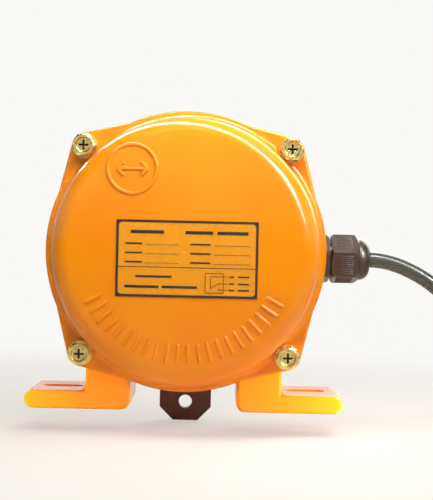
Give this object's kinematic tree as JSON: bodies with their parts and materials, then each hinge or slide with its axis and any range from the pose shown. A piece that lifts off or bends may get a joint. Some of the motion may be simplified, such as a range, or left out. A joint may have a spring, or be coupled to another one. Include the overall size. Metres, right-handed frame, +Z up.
{
  "type": "rope pull switch",
  "caption": "Two-way rope pull switch: cast housing on slotted feet, swinging pull arm behind it, cam, snap switches, cable gland and lead.",
  "frame": {"origin": "in the mounting plane under the feet, halfway between the two slots and halfway through the body's depth", "axes": "+X to the cable gland's side, +Y to the rear, where the pull arm hangs, +Z up; the cover faces -Y"},
  "size_m": [0.3258, 0.1423, 0.1575],
  "materials": {
    "orange_paint": "gloss enamel on cast aluminium",
    "gasket_rubber": "matt rubber",
    "yellow_zinc": "yellow passivated zinc",
    "label_film": "printed film",
    "bronze": "sintered bronze",
    "bright_steel": "turned steel",
    "spring_steel": "oiled spring steel",
    "dark_arm": "dark brown coated steel",
    "switch_case": "phenolic",
    "plunger_plastic": "moulded",
    "roller_plastic": "acetal",
    "tab_brass": "stamped brass",
    "gland_nylon": "satin nylon",
    "cable_pvc": "glossy PVC",
    "tie_nylon": "nylon",
    "core_red": "PVC",
    "core_blue": "PVC",
    "core_black": "PVC"
  },
  "bodies": {
    "housing": {"body_casting": "orange_paint", "cover": "orange_paint", "cover_gasket": "gasket_rubber", "cover_screws": "yellow_zinc", "cover_spring_washers": "yellow_zinc", "cover_flat_washers": "yellow_zinc", "rating_label": "label_film", "shaft_bush": "bronze", "shaft_seal": "gasket_rubber", "thrust_washer": "bright_steel", "return_spring": "spring_steel", "spring_post": "bright_steel", "switch_bracket": "bright_steel", "bracket_screws": "bright_steel", "switch_left": "switch_case", "switch_right": "switch_case", "switch_screws": "bright_steel", "switch_nuts": "bright_steel", "terminals_left": "tab_brass", "terminals_right": "tab_brass", "lever_pin_left": "bright_steel", "lever_pin_right": "bright_steel", "gland_body": "gland_nylon", "gland_washer": "gasket_rubber", "gland_seal": "gasket_rubber", "gland_nut": "gland_nylon", "gland_locknut": "gland_nylon", "cable_in_gland": "cable_pvc", "wires_red": "core_red", "wires_blue": "core_blue", "wires_black": "core_black", "cord": "cable_pvc", "cord_coil": "cable_pvc", "cord_tie": "tie_nylon", "cord_tails": "core_red"},
    "swing": {"shaft": "bright_steel", "pull_arm": "dark_arm", "arm_washer": "yellow_zinc", "arm_spring_washer": "yellow_zinc", "arm_nut": "yellow_zinc", "cam": "bright_steel", "cam_circlip": "spring_steel", "drive_pin": "bright_steel"},
    "left_lever": {"lever_left": "bright_steel", "roller_pin_left": "bright_steel"},
    "right_lever": {"lever_right": "bright_steel", "roller_pin_right": "bright_steel"},
    "left_roller": {"roller_left": "roller_plastic"},
    "right_roller": {"roller_right": "roller_plastic"},
    "left_plunger": {"plunger_left": "plunger_plastic"},
    "right_plunger": {"plunger_right": "plunger_plastic"}
  },
  "joints": [
    {"name": "arm_swing", "type": "hinge", "parent": "housing", "child": "swing", "pos_m": [0, 0, 0.07801], "axis": [0, -1, 0], "range_deg": [-30, 30], "stiffness_Nm_per_rad": 8, "deforming": ["return_spring"]},
    {"name": "left_lever_turn", "type": "hinge", "parent": "housing", "child": "left_lever", "pos_m": [-0.0259, 0, 0.10001], "axis": [0, -1, 0], "range_deg": [-7.85, 7.85]},
    {"name": "right_lever_turn", "type": "hinge", "parent": "housing", "child": "right_lever", "pos_m": [0.0259, 0, 0.10001], "axis": [0, -1, 0], "range_deg": [-7.85, 7.85]},
    {"name": "left_roller_spin", "type": "hinge", "parent": "left_lever", "child": "left_roller", "pos_m": [-0.0183, 0, 0.07801], "axis": [0, -1, 0], "continuous": true},
    {"name": "right_roller_spin", "type": "hinge", "parent": "right_lever", "child": "right_roller", "pos_m": [0.0183, 0, 0.07801], "axis": [0, -1, 0], "continuous": true},
    {"name": "left_plunger_slide", "type": "slide", "parent": "housing", "child": "left_plunger", "axis": [1, 0, 0], "range_m": [-0.0014, 0.0014]},
    {"name": "right_plunger_slide", "type": "slide", "parent": "housing", "child": "right_plunger", "axis": [1, 0, 0], "range_m": [-0.0014, 0.0014]}
  ],
  "couplings": [
    {"joint": "left_lever_turn", "follows": "arm_swing", "ratio": 0.26},
    {"joint": "right_lever_turn", "follows": "arm_swing", "ratio": 0.26},
    {"joint": "left_plunger_slide", "follows": "arm_swing", "m_per_rad": 0.00253},
    {"joint": "right_plunger_slide", "follows": "arm_swing", "m_per_rad": 0.00253}
  ]
}
